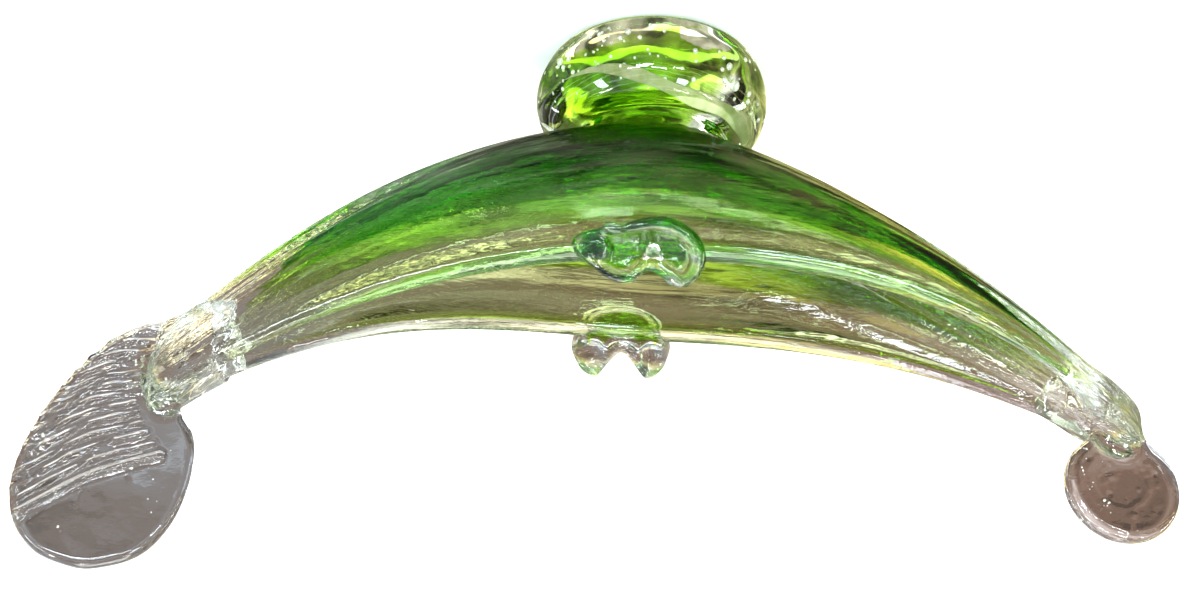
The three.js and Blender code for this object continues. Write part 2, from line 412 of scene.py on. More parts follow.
def glass(name, tint=(0.80, 0.90, 0.80), depth_tint=6, ripple=0.02, lines=0.0, run=(60, 60, 900)):
    """Clear glass: faintly green in its depth, with ripples and drawn lines from the tools, and fine
    wear. The run says how the lines lie: they are long where it is small."""
    material, tree, shader, output = new_material(name)
    shader.inputs["Base Color"].default_value = (1, 1, 1, 1)
    shader.inputs["IOR"].default_value = 1.5
    shader.inputs["Transmission Weight"].default_value = 1
    place = add_node(tree, "ShaderNodeTexCoord").outputs["Object"]
    worn = remap(tree, noise(tree, place, 900, 3), 0.62, 0.8, 0.0, 0.12)
    tree.links.new(worn, shader.inputs["Roughness"])
    last = add_node(tree, "ShaderNodeBump", Strength=ripple, Distance=0.002,
                    Height=noise(tree, place, 90, 2))
    if lines:
        stretched = add_node(tree, "ShaderNodeMapping", Vector=place, Scale=run)
        drawn = noise(tree, stretched.outputs["Vector"], 1, 3)
        last = add_node(tree, "ShaderNodeBump", Strength=lines, Distance=0.001, Height=drawn,
                        Normal=last.outputs["Normal"])
    tree.links.new(last.outputs["Normal"], shader.inputs["Normal"])
    absorb(tree, output, tint, depth_tint)
    return material


GREEN = (0.66, 0.875, 0.0)  # how well the green layer lets red, green and blue through
GREEN_DENSITY = 2500


def green_depth(name, share=1.0):
    """The green layer: it has the refraction of the glass around it, and colours by its depth. The
    share says how strong its green is, beside that of the bowl's lining."""
    material, tree, shader, output = new_material(name)
    shader.inputs["Base Color"].default_value = (1, 1, 1, 1)
    shader.inputs["Roughness"].default_value = 0
    shader.inputs["IOR"].default_value = 1.0
    shader.inputs["Transmission Weight"].default_value = 1
    absorb(tree, output, GREEN, GREEN_DENSITY * share)
    return material


def opal():
    """Pale olive glass, cloudy with fine air."""
    material, tree, shader, _ = new_material("opal_glass")
    place = add_node(tree, "ShaderNodeTexCoord").outputs["Object"]
    cloud = noise(tree, place, 220, 3)
    tone = ramp(tree, cloud, (0.35, (0.46, 0.55, 0.20)), (0.7, (0.78, 0.82, 0.50)))
    tree.links.new(tone, shader.inputs["Base Color"])
    shader.inputs["Roughness"].default_value = 0.35
    shader.inputs["IOR"].default_value = 1.1
    shader.inputs["Transmission Weight"].default_value = 0.45
    return material


def glowing_silver():
    """A bubble's wall, which throws nearly all light back. Its colour has painted shading, bright face-on
    and darker towards its edge, and it has a painted glow of its own.
    """
    material, tree, shader, _ = new_material("bubble_silver_glow")
    # Painted shading: the colour is bright where the wall faces the eye and darker towards the bubble's
    # edge.
    facing = add_node(tree, "ShaderNodeLayerWeight", Blend=0.35).outputs["Facing"]
    tone = ramp(tree, facing, (0.0, (0.95, 0.97, 0.93)), (0.8, (0.55, 0.58, 0.5)))
    tree.links.new(tone, shader.inputs["Base Color"])
    shader.inputs["Metallic"].default_value = 0.6
    shader.inputs["Roughness"].default_value = 0.3
    # Painted glow: the wall gives off a faint light of its own, as no lamp makes it.
    shader.inputs["Emission Color"].default_value = (0.9, 1.0, 0.95, 1)
    shader.inputs["Emission Strength"].default_value = 0.45
    return material


casing_glass = glass("casing_glass", tint=(0.66, 0.86, 0.50), lines=0.3, run=(14, 300, 300))
foot_glass = glass("foot_glass", tint=(0.74, 0.80, 0.46), depth_tint=13, ripple=0.05)
curl_glass = glass("curl_glass", ripple=0.03, lines=0.22, run=(150, 900, 900))
finial_glass = glass("finial_glass", tint=(0.88, 0.91, 0.84), depth_tint=4, ripple=0.05, lines=0.05,
                     run=(260, 260, 420))
lining_glass = green_depth("lining_glass")
trail_glass = green_depth("trail_glass", 0.075)
curl_green = green_depth("curl_green", 1.4)
opal_glass = opal()
bubble_silver_glow = glowing_silver()


# ---- Casing and lining -------------------------------------------------------------------------------

STATIONS = 210  # sections along the casing
LINING_STATIONS = 200
UNDERSIDE = 180  # steps round a section, from rim to rim
ROUND = 14  # steps over a rim
hollow_left = -(LEFT_REACH - LEFT_END)
hollow_right = RIGHT_REACH - RIGHT_END


def angle_of(drop, depth):
    """The angle round a section at which it is that far below its top."""
    return np.arcsin(np.clip(drop / np.maximum(depth, 1e-6), 0, 1) ** (1 / SECTION_POWER))


def waist(sunk):
    """How far the outside draws in under the rim; sunk is 0 at the rim and 1 at the keel."""
    return WAIST * smoothstep(0.02, WAIST_DEPTH, sunk) * (1 - smoothstep(WAIST_DEPTH, 0.62, sunk))


def sweep(first):
    """Angles round each section, from its first one to the same height on the other side."""
    return first[:, None] + (math.pi - 2 * first)[:, None] * np.linspace(0, 1, UNDERSIDE + 1)


def hollow_wall(half, sunk, angles):
    """Places across the hollow's wall, which is thicker towards the rim."""
    thicker = RIM_THICKENING * (1 - smoothstep(0.0, WAIST_DEPTH, sunk))
    return -(half[:, None] - thicker * smoothstep(5, 16, half)[:, None]) * np.cos(angles)


def rim_round(outer_half, hollow_depth):
    """How high the round of the rim is, and how far down it runs on the hollow's side."""
    round_height = np.minimum(RIM_ROUND, outer_half * 0.6)
    return round_height, np.minimum(round_height, 0.35 * hollow_depth)


def streaks(angles, x, height, seed):
    """Long low waves along the hull, as drawn glass has. They are strongest on the arms and die out at
    the rims."""
    draws = np.random.default_rng(seed)
    total = np.zeros(np.broadcast(angles, x).shape)
    for i in range(30):
        across = draws.uniform(6, 24) if i % 2 else draws.uniform(24, 60)
        run = draws.uniform(-0.035, 0.035)
        total += np.sin(across * angles + run * x + draws.uniform(0, 2 * math.pi)) / across
    return height * total * np.sqrt(np.sin(angles)) * (0.55 + 0.9 * smoothstep(0.25, 0.7, along(x)))


def casing():
    """The clear outer glass: its outside, the hollow's wall and a rounded rim between them."""
    x = stations(-LEFT_REACH, RIGHT_REACH, STATIONS, (-LEFT_REACH, hollow_left, hollow_right, RIGHT_REACH))
    half, top, bottom = outer_section(x, closing(x, LEFT_REACH, RIGHT_REACH, NOSE, NOSE))
    hollow_half, hollow_rim, hollow_floor = hollow_section(x)
    depth = hollow_rim - hollow_floor
    round_height, lip = rim_round(half, depth)
    # Outside, from the front rim to the rear one.
    angles = sweep(angle_of(round_height, top - bottom))
    sunk = np.sin(angles) ** SECTION_POWER
    body = smoothstep(9, 20, half)[:, None]
    swell = streaks(angles, x[:, None], 1.5, 3)
    reach = half[:, None] + swell - waist(sunk) * body
    y = -reach * np.cos(angles)
    z = top[:, None] + (bottom - top)[:, None] * sunk - swell * np.sin(angles)
    # Hollow, from the rear rim to the front one.
    inner_angles = sweep(angle_of(lip, depth))[:, ::-1]
    inner_sunk = np.sin(inner_angles) ** SECTION_POWER
    inner_y = hollow_wall(hollow_half, inner_sunk, inner_angles)
    inner_z = top[:, None] - depth[:, None] * inner_sunk
    inner_z += streaks(inner_angles, x[:, None], 0.8, 5) * np.minimum(depth / 20, 1)[:, None]
    # Rounds over the rims.
    last_turn = np.arcsin(np.clip(1 - lip / np.maximum(round_height, 1e-6), 0, 1))
    turn = math.pi + (last_turn - math.pi)[:, None] * np.linspace(0, 1, ROUND + 2)[1:-1]
    cross = (np.cos(turn) + 1) / (np.cos(last_turn) + 1)[:, None]
    outer_y, inner_edge = np.abs(y[:, :1]), np.abs(inner_y[:, :1])
    round_y = outer_y + (inner_edge - outer_y) * cross
    round_z = (top - round_height)[:, None] + round_height[:, None] * np.sin(turn)
    rows_y = np.hstack([y, round_y, inner_y, -round_y[:, ::-1]])
    rows_z = np.hstack([z, round_z, inner_z, round_z[:, ::-1]])
    rows_x = np.broadcast_to(x[:, None], rows_y.shape)
    points = np.stack([rows_x, rows_y, rows_z], axis=-1)
    faces = ring_faces(*points.shape[:2])
    return piece("casing", points.reshape(-1, 3), faces, casing_glass, "clear_glass", "clear_casing")


LINING_INSET = 0.35  # from the hollow's wall to the green layer
LINING_START = 2.4  # how far below the rim the green layer starts


def lining():
    """A green shell in the glass under the hollow: deep at the keel, and with a shelf up the sides."""
    x = stations(hollow_left + 0.6, hollow_right - 0.6, LINING_STATIONS, (hollow_left, hollow_right))
    half, rim, floor = hollow_section(x)
    depth = rim - floor
    angles = sweep(angle_of(LINING_START, np.maximum(depth, 2.5)))
    sunk = np.sin(angles) ** SECTION_POWER
    inner = np.stack([
        np.broadcast_to(x[:, None], angles.shape),
        hollow_wall(half, sunk, angles),
        rim[:, None] - depth[:, None] * sunk,
    ], axis=-1)
    outward = np.cross(np.gradient(inner, axis=1), np.gradient(inner, axis=0))
    outward /= np.maximum(np.linalg.norm(outward, axis=-1, keepdims=True), 1e-9)
    body = (smoothstep(6, 46, x - hollow_left) * smoothstep(6, 50, hollow_right - x))[:, None]
    keel_depth = 1.0 + 1.3 * np.exp(-(x / 85) ** 2)
    edge = (0.43 + 0.26 * smoothstep(0.22, 0.72, along(x)) + 0.012 * np.sin(x / 17))[:, None]
    shelf = 1.1 * smoothstep(edge, edge + 0.025, sunk)
    pooled = (keel_depth[:, None] - 1.0) * smoothstep(edge + 0.06, 0.96, sunk)
    thickness = 0.15 + shelf + pooled + streaks(angles, x[:, None], 1.6, 11) * shelf
    bead = 0.7 * np.exp(-((sunk - sunk[:, :1]) / 0.04) ** 2)
    thickness = 0.03 + (np.maximum(thickness, 0.1) + bead) * body
    near_rim = 1 - smoothstep(0, 0.12, sunk)
    start = LINING_INSET + 0.7 * near_rim
    inner_skin = inner + outward * start[..., None]
    outer_skin = inner + outward * (start + thickness)[..., None]
    rings = np.concatenate([inner_skin, outer_skin[:, ::-1]], axis=1)
    count = rings.shape[1]
    faces = ring_faces(len(x), count)
    for ring, order in ((0, 1), (len(x) - 1, -1)):
        head = ring * count
        tail = head + count - 1
        for k in range(count // 2 - 1):
            quad = [head + k, head + k + 1, tail - k - 1, tail - k]
            faces.append(quad[::order])
    return piece("lining", rings.reshape(-1, 3), faces, lining_glass, "green_glass", "green_lining")


casing()
lining()


# ---- Foot --------------------------------------------------------------------------------------------

FOOT_HEIGHT = foot_high[2]
FOOT_BELLY = foot_high[0]


def hull_underside(x, y):
    """Height of the hull's outer surface over a place on the table."""
    half = half_width_at(x)
    across = np.clip(np.abs(y) / half, 0, 1)
    depth = np.sqrt(1 - across ** 2) ** SECTION_POWER
    return rim_at(x) + (keel_at(x) - rim_at(x)) * depth


def foot():
    """A barrel whose shoulder rises and dips as it goes round, and whose top follows the hull's
    underside, half a millimetre inside it."""
    angle = np.linspace(0, 2 * math.pi, 256, endpoint=False)
    profile = curve_through([
        (0.0, 0.012), (0.45, 0.012), (0.80, 0.008), (0.875, 0.03), (0.93, 0.12), (0.985, 0.28), (1.0, 0.46),
        (0.985, 0.66), (0.93, 0.84), (0.86, 0.955), (0.78, 1.0), (0.68, 1.03), (0.55, 1.10), (0.0, 1.2),
    ], 150)
    up = profile[:, 1:]
    swell = 0.012 * np.sin(2 * angle + 1) + 0.006 * np.sin(5 * angle + 4 * up)
    radius = profile[:, :1] * FOOT_BELLY * (1 + swell * smoothstep(0.1, 0.5, up))
    lowered = smoothstep(0.4, 1, up) * (0.06 + 0.05 * np.cos(angle + 0.8))
    height = FOOT_HEIGHT * up * (1 - lowered)
    x = radius * np.cos(angle)
    y = radius * np.sin(angle)
    over = np.arange(len(profile))[:, None] > len(profile) * 0.5
    height = np.where(over, np.minimum(height, hull_underside(x, y) + 0.5), height)
    points = np.stack([x, y, height], axis=-1)
    faces = ring_faces(*points.shape[:2])
    return piece("foot_barrel", points.reshape(-1, 3), faces, foot_glass, "seeded_glass", "foot")


def foot_band():
    """A pale trail of opal glass: it starts low on the right of the front, climbs to the left and runs
    on round the back."""
    run = np.linspace(0, 1, 260)[:, None]
    angle = -0.42 - 5.3 * run
    low = smoothstep(-1.9, -0.8, angle)
    turn = np.linspace(0, 2 * math.pi, 16, endpoint=False)
    taper = np.sqrt(np.sin(math.pi * run).clip(0, 1)) * smoothstep(0, 0.12, run)
    wide, thick, lean = 3.1 * taper, 0.6 * taper, np.radians(46 + 36 * low)
    wide = wide * (1 + 0.15 * np.sin(9 * angle))
    side, over = wide * np.cos(turn), thick * np.sin(turn)
    radius = FOOT_BELLY * (0.815 + 0.13 * low) + side * np.cos(lean) + over * np.sin(lean)
    height = FOOT_HEIGHT * (0.895 - 0.31 * low + 0.012 * np.sin(5 * angle))
    height = height - side * np.sin(lean) + over * np.cos(lean)
    points = np.stack([radius * np.cos(angle), radius * np.sin(angle), height], axis=-1)
    faces = ring_faces(*points.shape[:2])
    return piece("foot_band", points.reshape(-1, 3), faces, opal_glass, "seeded_glass")


def foot_core():
    """Green glass that ran down from the lining into the foot, twisted as the foot was turned."""

    def field(points):
        x, y, z = points.T
        twist = 0.05 * (z - FOOT_HEIGHT / 2)
        cos, sin = np.cos(twist), np.sin(twist)
        turned = np.stack([x * cos - y * sin, x * sin + y * cos, z], axis=1)
        body = ball(turned, np.array([7, -9, 12]), np.array([23, 16, 9]))
        strand = ball(turned, np.array([-17, -12, 8]), np.array([15, 10, 5]))
        wave = 0.7 * np.sin(0.45 * x + 0.3 * z) * np.sin(0.4 * y + 1) + 0.4 * np.sin(0.9 * x - 0.7 * y + z)
        return fused(body, strand, 6) + wave

    points, faces = field_mesh(field, np.array([-36, -27, 1.5]), np.array([32, 10, 24]), 0.9)
    return piece("foot_core", points, faces, trail_glass, "green_glass")


def seeds(name, slot, places, sizes, seed):
    """Air bubbles caught in the glass, each drawn out a little its own way."""
    draws = np.random.default_rng(seed)
    shape = bmesh.new()
    for place, size in zip(places, sizes):
        stretch = np.diag([*(draws.uniform(0.85, 1.25, 3) * size), 1])
        turn = Euler(draws.uniform(0, math.pi, 3)).to_matrix().to_4x4()
        matrix = Matrix.Translation(Vector(place)) @ turn @ Matrix(stretch.tolist())
        bmesh.ops.create_icosphere(shape, subdivisions=2, radius=1, matrix=matrix)
    shape.verts.index_update()
    points = [tuple(v.co) for v in shape.verts]
    faces = [[v.index for v in f.verts] for f in shape.faces]
    shape.free()
    return piece(name, points, faces, bubble_silver_glow, slot)


def foot_seeds():
    """Two drifts of seeds, left and right, and a few between them."""
    draws = np.random.default_rng(21)
    places, sizes = [], []
    for middle, spread, count in ((-2.55, 0.45, 26), (-0.55, 0.42, 46), (-1.5, 0.6, 16), (1.6, 1.1, 34)):
        for _ in range(count):
            angle = middle + draws.normal(0, spread)
            radius = FOOT_BELLY * draws.uniform(0.70, 0.93)
            height = FOOT_HEIGHT * draws.uniform(0.12, 0.68)
            places.append((radius * math.cos(angle), radius * math.sin(angle), height))
            sizes.append(min(0.3 + draws.exponential(0.28), 1.25))
    return seeds("foot_seeds", "seeded_glass", places, sizes, 22)


foot()
foot_band()
foot_core()
foot_seeds()


# ---- Finials -----------------------------------------------------------------------------------------

COLLAR_LENGTH = 24  # from the tip to the collar's hem, which wanders round it
SEAT = 0.9  # how far the finials' glass is sunk in the hull's
RIBS = 13


def from_line(path, across, up):
    """Distance in a plane from places to a line through the path's points."""
    nearest = np.full(across.shape, 1e9)
    for (ax, az), (bx, bz) in zip(path[:-1], path[1:]):
        dx, dz = bx - ax, bz - az
        share = np.clip(((across - ax) * dx + (up - az) * dz) / (dx * dx + dz * dz), 0, 1)
        nearest = np.minimum(nearest, np.hypot(across - ax - share * dx, up - az - share * dz))
    return nearest


def inside_outline(outline, across, up):
    """Signed distance from places to a closed outline, in its plane."""
    closed = np.vstack([outline, outline[:1]])
    odd = np.zeros(across.shape, bool)
    for (ax, az), (bx, bz) in zip(closed[:-1], closed[1:]):
        crosses = (az > up) != (bz > up)
        with np.errstate(divide="ignore", invalid="ignore"):
            odd ^= crosses & (across < (bx - ax) * (up - az) / (bz - az) + ax)
    nearest = from_line(closed, across, up)
    return np.where(odd, -nearest, nearest)


class Sheet:
    """Values known on a fine plane grid, read anywhere by bilinear interpolation."""

    def __init__(self, low, high, step, values_of):
        self.low, self.step = np.array(low), step
        axes = [np.arange(a, b + step, step) for a, b in zip(low, high)]
        self.values = values_of(*np.meshgrid(*axes, indexing="ij"))

    def at(self, across, up):
        limit = np.array(self.values.shape) - 1.001
        u = np.clip((across - self.low[0]) / self.step, 0, limit[0])
        v = np.clip((up - self.low[1]) / self.step, 0, limit[1])
        i, k = u.astype(int), v.astype(int)
        s, t = u - i, v - k
        grid = self.values
        return ((grid[i, k] * (1 - s) + grid[i + 1, k] * s) * (1 - t)
                + (grid[i, k + 1] * (1 - s) + grid[i + 1, k + 1] * s) * t)


def pressed_disc(local, edge, web, relief):
    """A disc inside an outline, rounded at its edge, and with faces that the relief raises: the front
    one fully and the rear one a little."""
    across, deep, up = local.T
    raised = relief.at(across, up)
    turn = 0.9 * web
    outward = edge.at(across, up) + turn
    off = np.abs(deep) - web - np.where(deep < 0, raised, 0.3 * raised) + turn
    corner = np.hypot(np.maximum(outward, 0), np.maximum(off, 0))
    return corner + np.minimum(np.maximum(outward, off), 0) - turn


def tip_collar(points, side):
    """Glass drawn over a tip in folds: a sleeve with an uneven hem, closed over the end."""
    tip = LEFT_REACH if side < 0 else RIGHT_REACH
    x, y, z = points.T
    back = tip - side * x  # distance from the tip, towards the middle
    place = np.array(side * (tip - 6.0))
    middle = float(rim_at(place) + keel_at(place)) / 2
    around = np.arctan2(z - middle + 0.6 * (back - 6), y)
    fold = 0.5 * np.sin(5 * around + 0.16 * back) + 0.25 * np.sin(9 * around - 0.25 * back + 1)
    hem = COLLAR_LENGTH + 3.0 * np.sin(2 * around + 1) + 1.6 * np.sin(5 * around)
    cover = 0.15 + (0.9 + fold) * smoothstep(COLLAR_LENGTH, 4, back)
    sleeve = -fused(cover - hull_depth(points), 0.7 * (hem - back), 1.6)
    end = np.array([side * (tip - 5.5), 0, middle + 2])
    return fused(sleeve, ball(points, end, np.array([7.6, 9.0, 9.6])), 4)


def pressed_finial(name, node, side, size, outline, web, relief_of, step):
    """A pressed disc in one piece with the collar round its tip, cut away inside the hull."""
    low, high = corners(node)
    centre = np.array([high[0] - size[0] if side > 0 else low[0] + size[0], 0, high[2] - size[1]])
    edge = Sheet(-size - 4, size + 4, 0.4, lambda across, up: inside_outline(outline, across, up))
    relief = Sheet(-size - 4, size + 4, 0.25, lambda across, up: relief_of(across, up, edge))

    def field(points):
        disc = pressed_disc(points - centre, edge, web, relief)
        body = fused(disc, tip_collar(points, side), 7)
        return carved(body, hull_depth(points) + SEAT, 0.3)

    left_room, right_room = (12, 2) if side > 0 else (2, 12)
    points, faces = field_mesh(field, low - [left_room, 2, 6], high + [right_room, 2, 2], step)
    return piece(name, points, faces, finial_glass, "pressed_glass", node)


def ribbed_finial():
    """A paddle with a smooth upper part, a fan of pressed ribs under it and a fluted right edge."""
    w, h = 27.0, 40.4
    outline = curve_through([
        (0.0, h), (-0.50 * w, 0.89 * h), (-0.82 * w, 0.63 * h), (-0.98 * w, 0.28 * h),
        (-0.98 * w, -0.04 * h), (-0.80 * w, -0.25 * h), (-0.62 * w, -0.45 * h), (-0.68 * w, -0.74 * h),
        (-0.80 * w, -0.93 * h), (-0.50 * w, -h), (-0.18 * w, -0.93 * h), (0.14 * w, -0.77 * h),
        (0.46 * w, -0.53 * h), (0.77 * w, -0.18 * h), (0.95 * w, 0.14 * h), (w, 0.42 * h),
        (0.91 * w, 0.68 * h), (0.68 * w, 0.87 * h), (0.35 * w, 0.97 * h),
    ], 152, closed=True)
    scratches = [
        [(-0.35 * w, -0.02 * h), (0.05 * w, 0.06 * h), (0.12 * w, 0.22 * h), (0.26 * w, 0.52 * h)],
        [(0.02 * w, 0.2 * h), (0.12 * w, 0.24 * h), (0.42 * w, 0.36 * h)],
        [(-0.42 * w, 0.1 * h), (-0.12 * w, 0.16 * h)],
        [(-0.3 * w, 0.3 * h), (-0.22 * w, 0.12 * h)],
    ]

    def relief_of(across, up, edge):
        height = 0.12 * np.sin(0.31 * across + 0.2 * up) * np.sin(0.23 * up - 0.12 * across + 1)
        for i in range(RIBS):
            order = i / (RIBS - 1)
            start = (w * (-0.62 + 0.35 * math.sin(math.pi * order)), h * (0.12 - 0.98 * order))
            end = (w * (0.86 - 0.75 * order ** 2), h * (0.6 - 1.4 * order))
            sag = ((start[0] + end[0]) / 2, (start[1] + end[1]) / 2 - 0.06 * h)
            out = [b + 0.16 * (b - a) for a, b in zip(start, end)]
            away = from_line(curve_through([start, sag, end, out], 28), across, up)
            run = across * 0.35 + 2.1 * i
            bold = 1.9 if i == 0 else 1.3 + 0.5 * np.sin(run) + 0.25 * np.sin(2.7 * run)
            width = 0.95 + 0.22 * math.sin(3.7 * i)
            height = np.maximum(height, bold * np.exp(-(away / width) ** 2))
            height = height + 0.22 * np.exp(-((away - 1.9) / 0.4) ** 2)
        for line in scratches:
            away = from_line(curve_through(line, 12), across, up)
            height = height - 0.34 * np.exp(-(away / 0.5) ** 2)
        fluting = 0.9 + 0.55 * np.sin(1.5 * up - 0.5 * across)
        rim = fluting * np.exp(-((edge.at(across, up) + 2.9) / 1.2) ** 2)
        rim = rim * smoothstep(0.1 * w, 0.5 * w, across + 0.25 * up)
        return height + rim * smoothstep(0.75 * h, 0.5 * h, up)

    size = np.array([w, h])
    return pressed_finial("finial_ribbed", "ribbed_finial", 1, size, outline, 3.0, relief_of, 0.58)


def plain_finial():
    """A thick oval disc with a lumpy face and a faint ring pressed in it."""
    w, h = 19.5, 18.5
    tilt = math.radians(-25)
    angle = np.linspace(0, 2 * math.pi, 120, endpoint=False)
    across, up = w * np.cos(angle), h * np.sin(angle)
    outline = np.stack([across * math.cos(tilt) - up * math.sin(tilt),
                        across * math.sin(tilt) + up * math.cos(tilt)], axis=-1)

    def relief_of(across, up, edge):
        height = np.zeros(across.shape)
        draws = np.random.default_rng(31)
        for _ in range(70):
            x, z = draws.uniform(-w, w), draws.uniform(-h, h)
            size = draws.uniform(0.5, 1.4)
            lump = np.exp(-((across - x) ** 2 + (up - z) ** 2) / size ** 2)
            height += draws.uniform(-0.25, 0.25) * lump
        ring = np.hypot(across - 0.1 * w, up + 0.1 * h) / (0.5 * w)
        return height + 0.12 * smoothstep(0.85, 1.0, ring) * smoothstep(1.25, 1.05, ring)

    size = np.array([w, h])
    return pressed_finial("finial_plain", "plain_finial", -1, size, outline, 4.0, relief_of, 0.52)


def finial_seeds():
    """Specks of air in both finials, mostly towards the edge on one side."""
    draws = np.random.default_rng(41)
    discs = (
        ("finial_ribbed_seeds", "ribbed_finial", 60, 0.90, -1.25),
        ("finial_plain_seeds", "plain_finial", 40, 0.78, -0.3),
    )
    for name, node, count, reach, towards in discs:
        low, high = corners(node)
        centre, half = (low + high) / 2, (high - low) / 2
        places, sizes = [], []
        for _ in range(count):
            angle = draws.normal(towards, 1.1)
            share = reach * draws.uniform(0.72, 0.98)
            places.append((centre[0] + half[0] * share * math.cos(angle), draws.uniform(-1.6, 1.2),
                           centre[2] + half[2] * share * math.sin(angle)))
            sizes.append(min(0.14 + draws.exponential(0.12), 0.5))
        seeds(name, "pressed_glass", places, sizes, 42)


ribbed_finial()
plain_finial()
finial_seeds()


# ---- Curled lips -------------------------------------------------------------------------------------


def hollow_gap(points):
    """Roughly how far points are outside the hollow (negative inside it)."""
    x, y, z = points.T
    half, rim, floor = hollow_section(x)
    across = y / np.maximum(half, 0.1)
    down = np.clip((rim - z) / np.maximum(rim - floor, 0.1), 0, None) ** (1 / SECTION_POWER)
    return (np.hypot(across, down) - 1) * np.minimum(half, rim - floor)


class Curl:
    """A place on the rim that was pulled out with tongs and curled into a scoop: a rolled edge on a
    closed outline, and a dish behind it. Its own axes are across, deep (into the scoop) and up. Shift
    is along the rim, outset and lift place it outside and above the rim, and lean is in degrees."""

    def __init__(self, side, outline, shift, outset, lift, lean, dish, bend):
        x = np.array(float(shift))
        y = side * (float(half_width_at(x)) + outset)
        self.origin = np.array([shift, y, float(rim_at(x)) + lift])
        turn = Euler((math.radians(-lean), 0, math.radians(0 if side < 0 else 180)), "XYZ")
        self.axes = np.array(turn.to_matrix())
        self.outline = curve_through(outline, 160, closed=True)
        self.dish, self.bend = dish, bend
        low, high = self.outline.min(0) - 4, self.outline.max(0) + 4
        self.edge = Sheet(low, high, 0.3, lambda across, up: inside_outline(self.outline, across, up))

    def local(self, points):
        """The curl's own axes, with its bend taken out."""
        own = (points - self.origin) @ self.axes
        own[:, 1] -= self.bend(own[:, 0], own[:, 2])
        return own

    def behind(self, away):
        """How far back the dish is, by the distance inside its outline."""
        inward = np.clip(-away / 8, 0, 1)
        return self.dish * (1 - (1 - inward) ** 2)

    def glass_field(self, points, lip_of, web):
        """A dish of a half thickness, and the roll round it, whose radius changes as it goes."""
        across, deep, up = self.local(points).T
        away = self.edge.at(across, up)
        lip = lip_of(across, up)
        slab = np.maximum(np.abs(deep - self.behind(away)) - web, away + 1)
        roll = np.hypot(away + lip, deep) - lip
        return fused(slab, roll, 1.4)

    def green_field(self, points, thickness, margin_of):
        """A layer in the dish, which stops at a margin from the outline."""
        across, deep, up = self.local(points).T
        away = self.edge.at(across, up)
        return np.maximum(np.abs(deep - self.behind(away)) - thickness, away + margin_of(across))


def off_the_wall(body, points):
    """What is left of a curl outside the hull's wall, with a little of it sunk in."""
    wall = np.maximum(hull_depth(points) + 0.4, -hollow_gap(points) - RIM_THICKENING)
    return carved(body, wall, 0.4)


def front_bend(across, up):
    """How far back the front curl lies: more at its notch and wing, and less at its lower edge."""
    notch = 2.0 * np.exp(-((across + 4.2) / 3.6) ** 2 - ((up - 6) / 7) ** 2)
    return notch - 1.6 * np.exp(-((up + 10) / 6) ** 2) + 0.16 * np.maximum(across - 6, 0)


def rear_bend(across, up):
    """The rear curl lies back at its notch."""
    return 3.0 * np.exp(-(across / 4.5) ** 2 - ((up - 8) / 7) ** 2)


def curl_pieces(name, node, glass_of, green_of):
    """A curl's glass, and the green layer inside it, from their fields."""
    low, high = corners(node)

    def glass_outside(points):
        return off_the_wall(glass_of(points), points)

    def green_outside(points):
        return np.maximum(green_of(points), -hull_depth(points) - 0.2)

    points, faces = field_mesh(glass_outside, low - 1.5, high + 1.5, 0.5)
    piece(name, points, faces, curl_glass, "curled_glass", node)
    points, faces = field_mesh(green_outside, low, high, 0.45)
    piece(f"{name}_lining", points, faces, curl_green, "green_glass")


def front_curl():
    """The front curl, with a fold in its notch, a thick wing on its right and a bead under that."""
    curl = Curl(-1, [
        (-4.2, 6.6), (-7.8, 8.4), (-11.6, 10.6), (-15.6, 10.6), (-19.4, 6.8), (-20.8, 0.8), (-18.4, -5.4),
        (-13.2, -9.6), (-6.5, -11.6), (1.0, -10.4), (7.5, -8.0), (13.0, -6.6), (18.4, -4.4), (20.8, -1.0),
        (15.6, 4.4), (10.6, 8.6), (5.6, 10.4), (1.6, 9.6), (-1.4, 7.6),
    ], shift=11, outset=4.5, lift=2, lean=38, dish=5.5, bend=front_bend)
    bead = np.array([9.0, -0.6, -7.0])
    wing = np.array([14.0, 0.8, 0.4])
    fold = curve_through([
        (-10.5, 0, 9.0), (-7.4, 0.4, 4.0), (-4.3, -0.4, -1.6), (-1.4, 0.6, 3.6), (2.6, 0.2, 8.2),
    ], 24)

    def lip_of(across, up):
        return np.clip(1.9 - 0.05 * across, 1.0, 2.9)

    def margin_of(across):
        return np.clip(3.9 - 0.09 * across, 2.2, 5.6)

    def glass_of(points):
        local = curl.local(points)
        body = curl.glass_field(points, lip_of, 1.3)
        body = fused(body, ball(local, bead, np.array([3.6, 2.0, 1.9])), 1.0)
        body = fused(body, ball(local, wing, np.array([6.4, 3.2, 4.8])), 2.0)
        return fused(body, tube(local, fold, np.full(len(fold), 1.1)), 1.2)

    def green_of(points):
        core = ball(curl.local(points), wing, np.array([5.2, 1.6, 3.4]))
        return fused(curl.green_field(points, 0.7, margin_of), core, 0.8)

    curl_pieces("curl_front", "front_lip_curl", glass_of, green_of)


